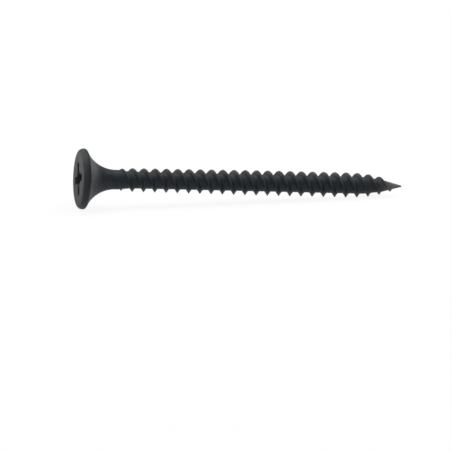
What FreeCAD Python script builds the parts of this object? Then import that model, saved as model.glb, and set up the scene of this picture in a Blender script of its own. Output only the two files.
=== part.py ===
import FreeCAD, Part
import math
import os

# A drywall screw, cold headed and thread rolled from one piece of steel wire: a flat bugle head with a
# cross recess, a short round neck, and a twin-start right-hand thread that runs out onto the sharp point.
# It is made about its own axis, with the flat of the head at x = 0 and the point on +X, and then laid
# down as it comes to rest, on the rim of its head and on a crest of its thread. All sizes are in mm.

# Overall sizes
OVERALL_LENGTH = 55.0
HEAD_DIAMETER = 10.1
NECK_DIAMETER = 3.26
ROOT_DIAMETER = 2.8
THREAD_DIAMETER = 4.2

# The bugle head and the neck, which narrows to the thread's root under the first turns
RIM_CHAMFER = 0.6
RIM_CHAMFER_DEPTH = 0.8
RIM_LAND = 0.31
BUGLE_RADIUS = 5.6
BUGLE_ARCS = 4
NECK_LENGTH = 0.35
NECK_TAPER_LENGTH = 2.2

# The cross recess, which takes a standard cross-head bit
RECESS_SPAN = 5.5
RECESS_BOTTOM_SPAN = 2.9
RECESS_WING_WIDTH = 1.25
RECESS_WING_BOTTOM_WIDTH = 0.75
RECESS_CORE_DIAMETER = 2.7
RECESS_CORE_BOTTOM_DIAMETER = 1.9
RECESS_WING_DEPTH = 2.6
RECESS_POINT_DEPTH = 0.55
RECESS_TURN = 47.0

# The point, which narrows slowly to a shoulder and then faster to a slightly blunt tip
POINT_LENGTH = 6.5
POINT_SHOULDER_FROM_TIP = 3.3
POINT_SHOULDER_DIAMETER = 2.0
TIP_DIAMETER = 0.24

# The thread, whose two ridges are half a turn apart
STARTS = 2
LEAD = 3.83
FIRST_CREST_DIAMETER = 3.9
FULL_CREST_FROM = 29.5
TAPER_LENGTH = 10.8
LAST_CREST_FROM_TIP = 0.7
EARLY_END_TURNS = 0.5
RUN_IN_TURNS = 0.25
RUN_OUT_TURNS = 0.3
THREAD_TURN = 180.0

# The section of a full ridge: a sharp crest over straight flanks
FOOT_WIDTH = 0.95

# How a ridge is drawn: points on each turn of its edges, how deep it is rooted in the core, as a share of
# the core's radius, how far its crest is sunk where it ends, and its width there, as a share of the full one
POINTS_PER_TURN = 42
ROOTED_SHARE = 0.15
SUNK_DEPTH = 0.06
END_WIDTH_SHARE = 0.2

# How far the recess's cut stands out of the head's face
CUT_MARGIN = 0.5

# How far the screw rolls about its own axis before it comes to rest
RESTING_TURN = 23.0

NECK_RADIUS = NECK_DIAMETER / 2
ROOT_RADIUS = ROOT_DIAMETER / 2
CREST_RADIUS = THREAD_DIAMETER / 2
RIM_RADIUS = HEAD_DIAMETER / 2
RIDGE_HEIGHT = CREST_RADIUS - ROOT_RADIUS
FLANK_SLOPE = FOOT_WIDTH / 2 / RIDGE_HEIGHT
RIM_END = RIM_CHAMFER_DEPTH + RIM_LAND
BUGLE_CENTRE_RADIUS = NECK_RADIUS + BUGLE_RADIUS
BUGLE_LENGTH = math.sqrt(BUGLE_RADIUS**2 - (BUGLE_CENTRE_RADIUS - RIM_RADIUS) ** 2)
NECK_START = RIM_END + BUGLE_LENGTH
NECK_END = NECK_START + NECK_LENGTH
ROOT_START = NECK_END + NECK_TAPER_LENGTH
FIRST_CREST = NECK_END
THREAD_LENGTH = OVERALL_LENGTH - LAST_CREST_FROM_TIP - FIRST_CREST
AXIS = FreeCAD.Vector(1, 0, 0)

# The outline of the shank without its thread, from the end of the neck to the tip, as lengths and radii
CORE_OUTLINE = [
    (NECK_END, NECK_RADIUS),
    (ROOT_START, ROOT_RADIUS),
    (OVERALL_LENGTH - POINT_LENGTH, ROOT_RADIUS),
    (OVERALL_LENGTH - POINT_SHOULDER_FROM_TIP, POINT_SHOULDER_DIAMETER / 2),
    (OVERALL_LENGTH, TIP_DIAMETER / 2),
]


def at(x, radius, angle=0.0):
    """The place at a length x and a radius from the axis, turned about it by an angle in radians."""
    return FreeCAD.Vector(x, radius * math.cos(angle), radius * math.sin(angle))


def ease(share):
    """A smooth rise from 0 to 1."""
    share = min(max(share, 0.0), 1.0)
    return share * share * (3 - 2 * share)


def core_radius(x):
    """The radius of the shank without its thread."""
    for (start, start_radius), (end, end_radius) in zip(CORE_OUTLINE, CORE_OUTLINE[1:]):
        if x < end:
            share = max(x - start, 0.0) / (end - start)
            return start_radius + (end_radius - start_radius) * share
    return TIP_DIAMETER / 2


def crest_radius(x):
    """The radius that the crests reach: slightly low near the head, full, then falling onto the point."""
    first = FIRST_CREST_DIAMETER / 2
    rising = first + (CREST_RADIUS - first) * (x - FIRST_CREST) / (FULL_CREST_FROM - FIRST_CREST)
    left = max(OVERALL_LENGTH - x, 0.0) / TAPER_LENGTH
    falling = CREST_RADIUS * (1 - max(1 - left, 0.0) ** 3)
    return min(rising, CREST_RADIUS, falling)


def bugle_point(share):
    """A point of the bugle's hollow arc, from the rim at a share of 0 to the neck at 1."""
    turn = math.acos((BUGLE_CENTRE_RADIUS - RIM_RADIUS) / BUGLE_RADIUS) * (1 - share)
    return at(NECK_START - BUGLE_RADIUS * math.sin(turn), BUGLE_CENTRE_RADIUS - BUGLE_RADIUS * math.cos(turn))


def turned_body():
    """The head, neck, core and point, turned in one profile about the axis."""
    before_bugle = [at(0, 0), at(0, RIM_RADIUS - RIM_CHAMFER), at(RIM_CHAMFER_DEPTH, RIM_RADIUS), bugle_point(0)]
    after_bugle = [bugle_point(1)] + [at(x, radius) for x, radius in CORE_OUTLINE]
    after_bugle += [at(OVERALL_LENGTH, 0), at(0, 0)]
    edges = [Part.makeLine(start, end) for start, end in zip(before_bugle, before_bugle[1:])]
    for number in range(BUGLE_ARCS):
        start, middle, end = [bugle_point((number + part) / BUGLE_ARCS) for part in (0, 0.5, 1)]
        edges.append(Part.Arc(start, middle, end).toShape())
    edges += [Part.makeLine(start, end) for start, end in zip(after_bugle, after_bugle[1:])]
    return Part.Face(Part.Wire(edges)).revolve(at(0, 0), AXIS, 360)


def ridge_height(x, turns, turns_left):
    """The height of a ridge over the core, which starts and ends just under the core's surface."""
    share = ease(turns / RUN_IN_TURNS) * ease(turns_left / RUN_OUT_TURNS)
    return (crest_radius(x) - core_radius(x) + SUNK_DEPTH) * share - SUNK_DEPTH


def ridge_section(x, height):
    """The places along and from the axis of a ridge's three edges, where its crest is at x."""
    scale = max(height / RIDGE_HEIGHT, END_WIDTH_SHARE)
    depth = SUNK_DEPTH + ROOTED_SHARE * core_radius(x)
    foot = FOOT_WIDTH / 2 * scale + FLANK_SLOPE * depth
    outline = [(-foot, -depth), (0, height), (foot, -depth)]
    return [(x + offset, core_radius(x + offset) + rise) for offset, rise in outline]


def ridge_sections(start):
    """The sections of one ridge, as points in order along its helix."""
    turns = THREAD_LENGTH / LEAD - start * EARLY_END_TURNS
    steps = math.ceil(turns * POINTS_PER_TURN)
    sections = []
    for step in range(steps + 1):
        turned = turns * step / steps
        x = FIRST_CREST + turned * LEAD
        angle = 2 * math.pi * (turned + start / STARTS) + math.radians(THREAD_TURN)
        height = ridge_height(x, turned, turns - turned)
        sections.append([at(place, radius, angle) for place, radius in ridge_section(x, height)])
    return sections


def helical_edge(points):
    """A smooth curve through points on a helix, with a whole number at each point."""
    curve = Part.BSplineCurve()
    curve.interpolate(Points=points, Parameters=[float(step) for step in range(len(points))])
    return curve


def strip(edge, other, first, last):
    """The ruled face between two helical edges, from one numbered point to another."""
    rails = [edge.copy(), other.copy()]
    for rail in rails:
        rail.segment(first, last)
    surface = Part.BSplineSurface()
    surface.buildFromPolesMultsKnots(
        [rail.getPoles() for rail in rails],
        [2, 2],
        rails[0].getMultiplicities(),
        [0.0, 1.0],
        rails[0].getKnots(),
        False,
        False,
        1,
        rails[0].Degree,
    )
    return surface.toShape()


def ridge(start):
    """One closed ridge of the thread: its strips, turn by turn, and a flat cap at each end."""
    sections = ridge_sections(start)
    edges = [helical_edge(points) for points in zip(*sections)]
    last = len(sections) - 1
    turn_ends = list(range(0, last - POINTS_PER_TURN // 2, POINTS_PER_TURN)) + [last]
    faces = []
    for turn_start, turn_end in zip(turn_ends, turn_ends[1:]):
        for number, edge in enumerate(edges):
            faces.append(strip(edges[number - 1], edge, turn_start, turn_end))
    for section in (sections[0], sections[-1]):
        faces.append(Part.Face(Part.makePolygon(section + section[:1])))
    shell = Part.Shell(faces)
    shell.sewShape()
    solid = Part.Solid(shell)
    if solid.Volume < 0:
        solid.reverse()
    return solid


def between(face_value, bottom_value, x):
    """A size of the recess at a depth x, from its values at the face and at the bottom of the wings."""
    return face_value + (bottom_value - face_value) * x / RECESS_WING_DEPTH


def wing_outline(x):
    half_span = between(RECESS_SPAN, RECESS_BOTTOM_SPAN, x) / 2
    half_width = between(RECESS_WING_WIDTH, RECESS_WING_BOTTOM_WIDTH, x) / 2
    corners = [(1, 1), (-1, 1), (-1, -1), (1, -1)]
    points = [FreeCAD.Vector(x, y * half_width, z * half_span) for y, z in corners]
    return Part.makePolygon(points + points[:1])


def cross_recess():
    """The cut of the cross recess: two crossed tapering wings, a tapering core and a shallow point."""
    upright_wing = Part.makeLoft([wing_outline(-CUT_MARGIN), wing_outline(RECESS_WING_DEPTH)], True, True)
    level_wing = upright_wing.copy()
    level_wing.rotate(at(0, 0), AXIS, 90)
    core_outer = between(RECESS_CORE_DIAMETER, RECESS_CORE_BOTTOM_DIAMETER, -CUT_MARGIN) / 2
    core_inner = RECESS_CORE_BOTTOM_DIAMETER / 2
    core = Part.makeCone(core_outer, core_inner, CUT_MARGIN + RECESS_WING_DEPTH, at(-CUT_MARGIN, 0), AXIS)
    point = Part.makeCone(core_inner, 0, RECESS_POINT_DEPTH, at(RECESS_WING_DEPTH, 0), AXIS)
    cut = upright_wing.fuse([level_wing, core, point])
    cut.rotate(at(0, 0), AXIS, RECESS_TURN)
    return cut


def resting_tilt():
    """The angle in degrees that the axis dips towards the point, lying on the rim and one crest."""
    roll = FreeCAD.Rotation(AXIS, RESTING_TURN)
    crest = [roll.multVec(section[1]) for start in range(STARTS) for section in ridge_sections(start)]
    slopes = [(RIM_RADIUS + place.z) / (place.x - RIM_END) for place in crest]
    return math.degrees(math.atan(min(slopes)))


def laid_down(screw):
    """The screw on the floor, with its axis over the X axis and the middle of its length at the origin."""
    screw.rotate(at(0, 0), AXIS, RESTING_TURN)
    screw.rotate(at(0, 0), FreeCAD.Vector(0, 1, 0), resting_tilt())
    box = screw.optimalBoundingBox(False)
    screw.translate(FreeCAD.Vector(-box.Center.x, -box.Center.y, -box.ZMin))
    return screw


def drywall_screw():
    ridges = [ridge(start) for start in range(STARTS)]
    return laid_down(turned_body().fuse(ridges).cut(cross_recess()))


os.makedirs("parts", exist_ok=True)
drywall_screw().exportStep("parts/drywall_screw.step")
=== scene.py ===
import math

import bpy
from mathutils import Matrix, Vector


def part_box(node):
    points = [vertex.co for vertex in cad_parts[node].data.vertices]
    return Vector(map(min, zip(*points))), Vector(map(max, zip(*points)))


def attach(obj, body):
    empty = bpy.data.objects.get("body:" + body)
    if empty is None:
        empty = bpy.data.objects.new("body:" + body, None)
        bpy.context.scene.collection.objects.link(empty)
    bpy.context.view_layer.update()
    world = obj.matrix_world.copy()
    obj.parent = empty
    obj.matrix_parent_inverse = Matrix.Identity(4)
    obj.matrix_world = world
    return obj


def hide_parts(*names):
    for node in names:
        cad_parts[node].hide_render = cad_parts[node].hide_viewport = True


# A drywall screw in black phosphated steel, lying on a white floor. The fine mesh below stands for the
# solid drywall_screw and keeps its form, with a rounded rim, rounded crests and flared roots. It is made
# about the screw's own axis, with the flat of the head at 0 and the point at OVERALL_LENGTH, and then laid
# down where the solid lies. Sizes of the screw are in mm.
MM = 0.001

OVERALL_LENGTH = 55.0
HEAD_RADIUS = 5.05
NECK_RADIUS = 1.63
ROOT_RADIUS = 1.4
CREST_RADIUS = 2.1

# The rim, rounded in front over a depth of its own, and at its back edge, where the bugle starts
RIM_ROUNDING = 0.6
RIM_ROUNDING_DEPTH = 0.8
RIM_END = 1.11
RIM_STEPS = 8
EDGE_ROUNDING = 0.45
EDGE_STEPS = 8

# The bugle and the neck
BUGLE_RADIUS = 5.6
BUGLE_STEPS = 28
NECK_LENGTH = 0.35
NECK_TAPER_LENGTH = 2.2

# The cross recess, with sizes at the face and at the bottom of its wings
RECESS_HALF_SPAN = (2.75, 1.45)
RECESS_HALF_WIDTH = (0.625, 0.375)
RECESS_CORE_RADIUS = (1.35, 0.95)
RECESS_WING_DEPTH = 2.6
RECESS_POINT_DEPTH = 0.55
RECESS_CONE_RING = 0.7
RECESS_TURN = 47.0
RECESS_CORNER = 0.12
RECESS_MOUTH_ROUNDING = 0.1
RECESS_WALL_STEPS = 6
RECESS_MOUTH_STEPS = 4

# The point
POINT_LENGTH = 6.5
POINT_SHOULDER_FROM_TIP = 3.3
POINT_SHOULDER_RADIUS = 1.0
TIP_RADIUS = 0.12

# The thread, whose two ridges are half a turn apart
STARTS = 2
LEAD = 3.83
FIRST_CREST_RADIUS = 1.95
FULL_CREST_FROM = 29.5
TAPER_LENGTH = 10.8
LAST_CREST_FROM_TIP = 0.7
EARLY_END_TURNS = 0.5
RUN_IN_TURNS = 0.25
RUN_OUT_TURNS = 0.3
THREAD_TURN = 180.0
END_WIDTH_SHARE = 0.2

# The section of a ridge: a rounded crest over flanks that flare out at the root
FOOT_HALF_WIDTH = 0.555
FLARE_POWER = 1.4
CREST_ROUNDING = 0.15

# How far the screw rolls about its own axis before it comes to rest
RESTING_TURN = 23.0

# The mesh: points round each ring, a whole number of times 8, as the recess's outline needs
COLUMNS = 72

# Wear and painted highlight: 0 leaves the coat whole, and 2 turns about half of it to the bare steel colour.
# The face and bugle get painted highlight from above, the crests wear and painted highlight, the recess mouth
# and tip wear
FACE_HIGHLIGHT = 1.0
RECESS_MOUTH_WEAR = 0.3
BUGLE_HIGHLIGHT = 4.6
CREST_WEAR_AND_HIGHLIGHT = 2.0
TIP_WEAR = 2.8

# The share of the painted highlight from above that is left on the underside
UNDERSIDE_HIGHLIGHT_SHARE = 0.03

# The shares of the bugle's arc at which its painted highlight is full and is gone, and how far up the point
# the tip's wear goes
BUGLE_HIGHLIGHT_FROM = 0.03
BUGLE_HIGHLIGHT_TO = 0.62
TIP_WORN_LENGTH = 4.5

# The surface, whose coat runs from dark to pale between two levels of its mottling
COAT_COLOURS = ((0.006, 0.0095, 0.0125, 1), (0.018, 0.025, 0.032, 1))
COAT_LEVELS = (0.3, 0.72)
# The pale steel of the worn coat, also used for the painted highlights
BARE_STEEL_AND_HIGHLIGHT = (0.12, 0.121, 0.123, 1)
COAT_IOR = 1.35
COAT_ROUGHNESS = (0.45, 0.68)
MOTTLING = {"Scale": 900, "Detail": 6, "Roughness": 0.65}
GRAIN = {"Scale": 9000, "Detail": 3}
GRAIN_BUMP = {"Strength": 0.35, "Distance": 0.00004}

# The floor, in metres: a grey that the camera and reflections see mixed with a share of white glow
FLOOR_HALF_SIDE = 3.0
FLOOR_GREY = (0.6, 0.6, 0.6, 1)
FLOOR_GLOW = 1.06
FLOOR_GLOW_SHARE = 0.85

# The sky's strength at the horizon, against 1 overhead
HORIZON_STRENGTH = 0.25

# The lamp, in metres and watts, with its lean in degrees
LAMP_LENGTH = 0.8
LAMP_WIDTH = 0.4
LAMP_POWER = 2.0
LAMP_PLACE = (0, 0.15, 0.6)
LAMP_LEAN = -14

# The camera: degrees round towards the point and up from the floor, its distance in metres, its lens in mm,
# how near and far it sees in metres, and its aim in metres from the middle of the screw
CAMERA_AZIMUTH = -12.0
CAMERA_ELEVATION = 11.7
CAMERA_DISTANCE = 1.2
CAMERA_LENS = 575.0
CAMERA_CLIP = (0.01, 20)
AIM_RIGHT = -0.00228
AIM_UP = -0.0089

BUGLE_CENTRE_RADIUS = NECK_RADIUS + BUGLE_RADIUS
NECK_START = RIM_END + math.sqrt(BUGLE_RADIUS**2 - (BUGLE_CENTRE_RADIUS - HEAD_RADIUS) ** 2)
NECK_END = NECK_START + NECK_LENGTH
FIRST_CREST = NECK_END
THREAD_LENGTH = OVERALL_LENGTH - LAST_CREST_FROM_TIP - FIRST_CREST
CORE_OUTLINE = [
    (NECK_END, NECK_RADIUS),
    (NECK_END + NECK_TAPER_LENGTH, ROOT_RADIUS),
    (OVERALL_LENGTH - POINT_LENGTH, ROOT_RADIUS),
    (OVERALL_LENGTH - POINT_SHOULDER_FROM_TIP, POINT_SHOULDER_RADIUS),
    (OVERALL_LENGTH, TIP_RADIUS),
]


def ease(share):
    """A smooth rise from 0 to 1."""
    share = min(max(share, 0.0), 1.0)
    return share * share * (3 - 2 * share)


def at(x, radius, angle):
    """The place at a length x and a radius from the axis, turned about it by an angle in radians."""
    return Vector((x, radius * math.cos(angle), radius * math.sin(angle)))


def column_angle(column):
    """The angle of a column of the mesh, the first one at the recess's turn."""
    return math.radians(RECESS_TURN + 360 * column / COLUMNS)


def ring(x, radius, wear_and_highlight=0.0):
    """A plain circle of points, each with its wear."""
    return [(at(x, radius, column_angle(column)), wear_and_highlight) for column in range(COLUMNS)]


def painted_top_light(angle):
    """The share of the painted highlight at an angle round the screw: painted light from above, the most on
    the side that lies uppermost.
    """
    up = (1 + math.sin(angle + math.radians(RESTING_TURN))) / 2
    return UNDERSIDE_HIGHLIGHT_SHARE + (1 - UNDERSIDE_HIGHLIGHT_SHARE) * up**2


def top_highlit_ring(x, radius, wear_and_highlight):
    """A circle of the head with a painted highlight, strongest on its upper side as if lit from above."""
    angles = [column_angle(column) for column in range(COLUMNS)]
    return [(at(x, radius, angle), wear_and_highlight * painted_top_light(angle)) for angle in angles]


def recess_eighth(span, width, core):
    """An eighth of the cross's outline, from the middle of a wing's end to the corner between two wings."""
    rounded = RECESS_CORNER * (1 - math.sqrt(0.5))
    eighth = [(span, 0), (span, width - RECESS_CORNER), (span - rounded, width - rounded)]
    steps = COLUMNS // 8 - len(eighth)
    side_steps = steps // 2
    side_start = span - RECESS_CORNER
    side_end = math.sqrt(core**2 - width**2)
    for step in range(side_steps):
        eighth.append((side_start + (side_end - side_start) * step / side_steps, width))
    start = math.atan2(width, side_end)
    core_steps = steps - side_steps
    for step in range(core_steps + 1):
        angle = start + (math.pi / 4 - start) * step / core_steps
        eighth.append((core * math.cos(angle), core * math.sin(angle)))
    return eighth


def recess_ring(depth, widening, wear_and_highlight=0.0):
    """The cross's outline at a depth, widened all round: one eighth of it, mirrored and turned."""
    share = depth / RECESS_WING_DEPTH
    sizes = (RECESS_HALF_SPAN, RECESS_HALF_WIDTH, RECESS_CORE_RADIUS)
    eighth = recess_eighth(*[face + (bottom - face) * share + widening for face, bottom in sizes])
    quarter = eighth + [(b, a) for a, b in eighth[-2:0:-1]]
    points = []
    for quarter_turn in range(4):
        turn = math.radians(RECESS_TURN + 90 * quarter_turn)
        for a, b in quarter:
            points.append((at(depth, math.hypot(a, b), math.atan2(b, a) + turn), wear_and_highlight))
    return points


def core_radius(x):
    """The radius of the shank without its thread."""
    for (start, start_radius), (end, end_radius) in zip(CORE_OUTLINE, CORE_OUTLINE[1:]):
        if x < end:
            share = max(x - start, 0.0) / (end - start)
            return start_radius + (end_radius - start_radius) * share
    return TIP_RADIUS


def crest_radius(x):
    """The radius that the crests reach: slightly low near the head, full, then falling onto the point."""
    rise = (CREST_RADIUS - FIRST_CREST_RADIUS) / (FULL_CREST_FROM - FIRST_CREST)
    rising = FIRST_CREST_RADIUS + rise * (x - FIRST_CREST)
    left = max(OVERALL_LENGTH - x, 0.0) / TAPER_LENGTH
    falling = CREST_RADIUS * (1 - max(1 - left, 0.0) ** 3)
    return min(rising, CREST_RADIUS, falling)


def ridge_share(across):
    """The height of a ridge, as a share of its crest's, at a share of its half width from the crest."""
    rounded = math.hypot(across, CREST_ROUNDING) - CREST_ROUNDING
    foot = math.hypot(1, CREST_ROUNDING) - CREST_ROUNDING
    return max(1 - rounded / foot, 0.0) ** FLARE_POWER


def ridge_rise(x, angle):
    """The height of the thread over the core, and its share of the crest, at a place on the shank."""
    highest = (0.0, 0.0)
    for start in range(STARTS):
        phase = (angle - math.radians(THREAD_TURN)) / (2 * math.pi) - start / STARTS
        turned = round((x - FIRST_CREST) / LEAD - phase) + phase
        turns = THREAD_LENGTH / LEAD - start * EARLY_END_TURNS
        if not 0 < turned < turns:
            continue
        crest = FIRST_CREST + turned * LEAD
        height = crest_radius(crest) - core_radius(crest)
        height *= ease(turned / RUN_IN_TURNS) * ease((turns - turned) / RUN_OUT_TURNS)
        half_width = FOOT_HALF_WIDTH * max(height / (CREST_RADIUS - ROOT_RADIUS), END_WIDTH_SHARE)
        share = ridge_share(abs(x - crest) / half_width)
        highest = max(highest, (height * share, share))
    return highest


def recess_rings():
    """The recess, from the cone at its bottom up to the rounding of its mouth."""
    cone_depth = RECESS_POINT_DEPTH * (1 - RECESS_CONE_RING)
    rings = [ring(RECESS_WING_DEPTH + cone_depth, RECESS_CORE_RADIUS[1] * RECESS_CONE_RING)]
    wall = RECESS_WING_DEPTH - RECESS_MOUTH_ROUNDING
    for step in range(RECESS_WALL_STEPS, 0, -1):
        rings.append(recess_ring(RECESS_MOUTH_ROUNDING + wall * step / RECESS_WALL_STEPS, 0.0))
    for step in range(RECESS_MOUTH_STEPS + 1):
        turn = math.pi / 2 * step / RECESS_MOUTH_STEPS
        depth = RECESS_MOUTH_ROUNDING * (1 - math.sin(turn))
        widening = RECESS_MOUTH_ROUNDING * (1 - math.cos(turn))
        rings.append(recess_ring(depth, widening, RECESS_MOUTH_WEAR * math.sin(turn)))
    return rings


def head_rings():
    """The head's face, its rim, rounded in front and behind, and the hollow of the bugle."""
    rings = [top_highlit_ring(0, (RECESS_HALF_SPAN[0] + HEAD_RADIUS - RIM_ROUNDING) / 2, FACE_HIGHLIGHT)]
    for step in range(RIM_STEPS + 1):
        turn = math.pi / 2 * step / RIM_STEPS
        x = RIM_ROUNDING_DEPTH * (1 - math.cos(turn))
        # Painted highlight on the face and the front of the rim, strongest on the upper side
        wear_and_highlight = FACE_HIGHLIGHT * math.cos(turn)
        rings.append(top_highlit_ring(x, HEAD_RADIUS - RIM_ROUNDING * (1 - math.sin(turn)), wear_and_highlight))
    reach = BUGLE_RADIUS + EDGE_ROUNDING
    widest = math.acos((BUGLE_CENTRE_RADIUS - HEAD_RADIUS + EDGE_ROUNDING) / reach)
    for step in range(EDGE_STEPS):
        turn = widest * step / EDGE_STEPS
        x = NECK_START - reach * math.sin(widest) + EDGE_ROUNDING * math.sin(turn)
        rings.append(ring(x, HEAD_RADIUS - EDGE_ROUNDING * (1 - math.cos(turn))))
    for step in range(BUGLE_STEPS + 1):
        share = step / BUGLE_STEPS
        turn = widest * (1 - share)
        x = NECK_START - BUGLE_RADIUS * math.sin(turn)
        # A painted highlight band on the bugle behind the rim, strongest on the upper side
        wear_and_highlight = BUGLE_HIGHLIGHT * ease(share / BUGLE_HIGHLIGHT_FROM) * ease((BUGLE_HIGHLIGHT_TO - share) / BUGLE_HIGHLIGHT_TO)
        rings.append(top_highlit_ring(x, BUGLE_CENTRE_RADIUS - BUGLE_RADIUS * math.cos(turn), wear_and_highlight))
    return rings


def shank_rings():
    """Rings a column's climb apart, so that each crest runs along the mesh's diagonals."""
    climb = LEAD / COLUMNS
    first_crossing = FIRST_CREST + LEAD * (RECESS_TURN - THREAD_TURN) / 360
    first = math.ceil((NECK_END - first_crossing) / climb)
    last = math.floor((OVERALL_LENGTH - first_crossing) / climb)
    rings = []
    for number in range(first, last + 1):
        x = first_crossing + number * climb
        tip_wear = TIP_WEAR * ease(1 - (OVERALL_LENGTH - x) / TIP_WORN_LENGTH)
        points = []
        for column in range(COLUMNS):
            angle = column_angle(column)
            rise, share = ridge_rise(x, angle)
            # Wear on the crests, with a painted highlight that makes the crests on the upper side paler
            wear_and_highlight = CREST_WEAR_AND_HIGHLIGHT * share * painted_top_light(angle) ** 2
            points.append((at(x, core_radius(x) + rise, angle), max(wear_and_highlight, tip_wear)))
        rings.append(points)
    rings.append(ring(OVERALL_LENGTH, TIP_RADIUS, TIP_WEAR))
    return rings


def resting_tilt(points):
    """The dip of the axis towards the point, lying on the end of the rim and one crest."""
    slopes = []
    for point in points:
        if point.x > FIRST_CREST:
            slopes.append((HEAD_RADIUS + point.z) / (point.x - RIM_END))
    return math.atan(min(slopes))


def skin(rings):
    """The triangles between the rings, and a fan at each end to a point of its own."""
    faces = []
    recess_end = len(rings) * COLUMNS
    tip = recess_end + 1
    last = (len(rings) - 1) * COLUMNS
    for column in range(COLUMNS):
        after = (column + 1) % COLUMNS
        for here in range(0, last, COLUMNS):
            there = here + COLUMNS
            faces.append((here + column, here + after, there + after))
            faces.append((here + column, there + after, there + column))
        faces.append((recess_end, after, column))
        faces.append((tip, last + column, last + after))
    return faces


def laid_down(points):
    """The points in metres, rolled and tilted to rest and set where the solid lies."""
    rolled = Matrix.Rotation(math.radians(RESTING_TURN), 3, "X")
    points = [rolled @ point for point in points]
    tilted = Matrix.Rotation(resting_tilt(points), 3, "Y")
    points = [tilted @ point * MM for point in points]
    low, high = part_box("drywall_screw")
    middle = (min(point.x for point in points) + max(point.x for point in points)) / 2
    shift = Vector(((low.x + high.x) / 2 - middle, 0, low.z - min(point.z for point in points)))
    return [point + shift for point in points]


def screw_mesh():
    """The whole screw as one closed mesh, with its wear and painted highlight at each point."""
    rings = recess_rings() + head_rings() + shank_rings()
    placed = [pair for outline in rings for pair in outline]
    placed.append((at(RECESS_WING_DEPTH + RECESS_POINT_DEPTH, 0, 0), 0.0))
    placed.append((at(OVERALL_LENGTH, 0, 0), TIP_WEAR))
    mesh = bpy.data.meshes.new("screw")
    mesh.from_pydata(laid_down([point for point, wear_and_highlight in placed]), [], skin(rings))
    mesh.attributes.new("wear_and_highlight", "FLOAT", "POINT").data.foreach_set("value", [wear_and_highlight for point, wear_and_highlight in placed])
    mesh.shade_smooth()
    mesh.update()
    return mesh


def add_node(tree, kind, values):
    """A new node with the given values on its inputs."""
    node = tree.nodes.new(kind)
    for name, value in values.items():
        node.inputs[name].default_value = value
    return node


def add_math(tree, operation):
    """A new math node for two numbers."""
    node = tree.nodes.new("ShaderNodeMath")
    node.operation = operation
    return node


def phosphated_steel():
    """A mottled, finely grained dark coat, turned to pale steel by the mesh's wear and painted highlight."""
    material = bpy.data.materials.new("phosphated_steel")
    material.use_nodes = True
    tree = material.node_tree
    links = tree.links
    shader = tree.nodes["Principled BSDF"]
    shader.inputs["Metallic"].default_value = 0.0
    shader.inputs["IOR"].default_value = COAT_IOR

    place = tree.nodes.new("ShaderNodeTexCoord")
    mottling = add_node(tree, "ShaderNodeTexNoise", MOTTLING)
    links.new(place.outputs["Object"], mottling.inputs["Vector"])
    grain = add_node(tree, "ShaderNodeTexNoise", GRAIN)
    links.new(place.outputs["Object"], grain.inputs["Vector"])

    coat = tree.nodes.new("ShaderNodeValToRGB")
    for element, level, colour in zip(coat.color_ramp.elements, COAT_LEVELS, COAT_COLOURS):
        element.position = level
        element.color = colour
    links.new(mottling.outputs["Fac"], coat.inputs["Fac"])

    # The mesh's wear and painted highlight, mottled, mixes in the pale steel
    wear_and_highlight = tree.nodes.new("ShaderNodeAttribute")
    wear_and_highlight.attribute_name = "wear_and_highlight"
    patchy = add_math(tree, "MULTIPLY")
    links.new(wear_and_highlight.outputs["Fac"], patchy.inputs[0])
    links.new(mottling.outputs["Fac"], patchy.inputs[1])

    worn_and_highlit = tree.nodes.new("ShaderNodeMix")
    worn_and_highlit.data_type = "RGBA"
    worn_and_highlit.inputs["B"].default_value = BARE_STEEL_AND_HIGHLIGHT
    links.new(patchy.outputs["Value"], worn_and_highlit.inputs["Factor"])
    links.new(coat.outputs["Color"], worn_and_highlit.inputs["A"])
    links.new(worn_and_highlit.outputs["Result"], shader.inputs["Base Color"])

    smooth, coarse = COAT_ROUGHNESS
    rough = add_node(tree, "ShaderNodeMapRange", {"To Min": smooth, "To Max": coarse})
    links.new(grain.outputs["Fac"], rough.inputs["Value"])
    links.new(rough.outputs["Result"], shader.inputs["Roughness"])

    bump = add_node(tree, "ShaderNodeBump", GRAIN_BUMP)
    links.new(grain.outputs["Fac"], bump.inputs["Height"])
    links.new(bump.outputs["Normal"], shader.inputs["Normal"])
    return material


def white_floor():
    """A surface that is white to the camera and in reflections, and keeps some of the object's shadow."""
    material = bpy.data.materials.new("white_floor")
    material.use_nodes = True
    tree = material.node_tree
    links = tree.links
    tree.nodes.remove(tree.nodes["Principled BSDF"])
    diffuse = add_node(tree, "ShaderNodeBsdfDiffuse", {"Color": FLOOR_GREY})
    glow = add_node(tree, "ShaderNodeEmission", {"Strength": FLOOR_GLOW})
    seen = tree.nodes.new("ShaderNodeLightPath")
    either = add_math(tree, "MAXIMUM")
    links.new(seen.outputs["Is Camera Ray"], either.inputs[0])
    links.new(seen.outputs["Is Glossy Ray"], either.inputs[1])
    share = add_math(tree, "MULTIPLY")
    share.inputs[1].default_value = FLOOR_GLOW_SHARE
    links.new(either.outputs["Value"], share.inputs[0])
    mix = tree.nodes.new("ShaderNodeMixShader")
    links.new(share.outputs["Value"], mix.inputs["Fac"])
    links.new(diffuse.outputs["BSDF"], mix.inputs[1])
    links.new(glow.outputs["Emission"], mix.inputs[2])
    links.new(mix.outputs["Shader"], tree.nodes["Material Output"].inputs["Surface"])
    return material


def stage():
    """The floor that the screw lies on."""
    half = FLOOR_HALF_SIDE
    corners = [(-half, -half, 0), (half, -half, 0), (half, half, 0), (-half, half, 0)]
    mesh = bpy.data.meshes.new("floor")
    mesh.from_pydata(corners, [], [(0, 1, 2, 3)])
    mesh.materials.append(white_floor())
    floor = bpy.data.objects.new("floor", mesh)
    bpy.context.scene.collection.objects.link(floor)


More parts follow.
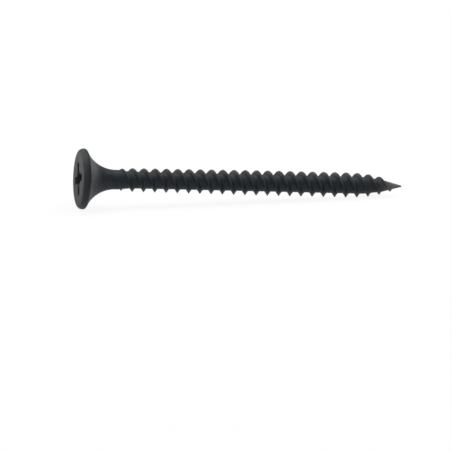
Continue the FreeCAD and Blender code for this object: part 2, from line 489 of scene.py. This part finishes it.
def sky():
    """A white sky, full to the camera and dimmer towards the horizon in what it lights."""
    world = bpy.data.worlds.new("studio")
    world.use_nodes = True
    tree = world.node_tree
    links = tree.links
    place = tree.nodes.new("ShaderNodeTexCoord")
    parts = tree.nodes.new("ShaderNodeSeparateXYZ")
    links.new(place.outputs["Generated"], parts.inputs["Vector"])
    height = add_node(tree, "ShaderNodeMapRange", {"To Min": HORIZON_STRENGTH})
    links.new(parts.outputs["Z"], height.inputs["Value"])
    seen = tree.nodes.new("ShaderNodeLightPath")
    strength = add_node(tree, "ShaderNodeMix", {"B": 1.0})
    links.new(seen.outputs["Is Camera Ray"], strength.inputs["Factor"])
    links.new(height.outputs["Result"], strength.inputs["A"])
    background = tree.nodes["Background"]
    background.inputs["Color"].default_value = (1, 1, 1, 1)
    links.new(strength.outputs["Result"], background.inputs["Strength"])
    bpy.context.scene.world = world


def overhead_lamp():
    """A wide soft lamp over the screw and a little behind it."""
    lamp = bpy.data.lights.new("overhead", "AREA")
    lamp.shape = "RECTANGLE"
    lamp.size = LAMP_LENGTH
    lamp.size_y = LAMP_WIDTH
    lamp.energy = LAMP_POWER
    overhead = bpy.data.objects.new("overhead", lamp)
    overhead.location = LAMP_PLACE
    overhead.rotation_euler = (math.radians(LAMP_LEAN), 0, 0)
    bpy.context.scene.collection.objects.link(overhead)


def camera():
    """A long lens from the front, a little to the head's side and above."""
    data = bpy.data.cameras.new("camera")
    data.lens = CAMERA_LENS
    data.clip_start, data.clip_end = CAMERA_CLIP
    viewer = bpy.data.objects.new("camera", data)
    bpy.context.scene.collection.objects.link(viewer)
    azimuth = math.radians(CAMERA_AZIMUTH)
    elevation = math.radians(CAMERA_ELEVATION)
    level = Vector((math.sin(azimuth), -math.cos(azimuth), 0))
    back = level * math.cos(elevation) + Vector((0, 0, math.sin(elevation)))
    right = Vector((math.cos(azimuth), math.sin(azimuth), 0))
    low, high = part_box("drywall_screw")
    target = (low + high) / 2 + right * AIM_RIGHT + back.cross(right) * AIM_UP
    viewer.location = target + back * CAMERA_DISTANCE
    viewer.rotation_euler = (-back).to_track_quat("-Z", "Y").to_euler()
    bpy.context.scene.camera = viewer


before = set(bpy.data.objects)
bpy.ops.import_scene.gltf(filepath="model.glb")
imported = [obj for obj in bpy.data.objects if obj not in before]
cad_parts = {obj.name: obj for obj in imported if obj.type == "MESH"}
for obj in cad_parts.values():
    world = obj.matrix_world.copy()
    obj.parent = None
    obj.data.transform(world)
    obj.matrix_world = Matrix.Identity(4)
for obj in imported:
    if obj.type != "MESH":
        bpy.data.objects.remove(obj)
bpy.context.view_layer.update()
screw = bpy.data.objects.new("screw", screw_mesh())
bpy.context.scene.collection.objects.link(screw)
screw.data.materials.append(phosphated_steel())
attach(screw, "root")
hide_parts("drywall_screw")
stage()
sky()
overhead_lamp()
camera()
bpy.context.scene.view_settings.view_transform = "Standard"
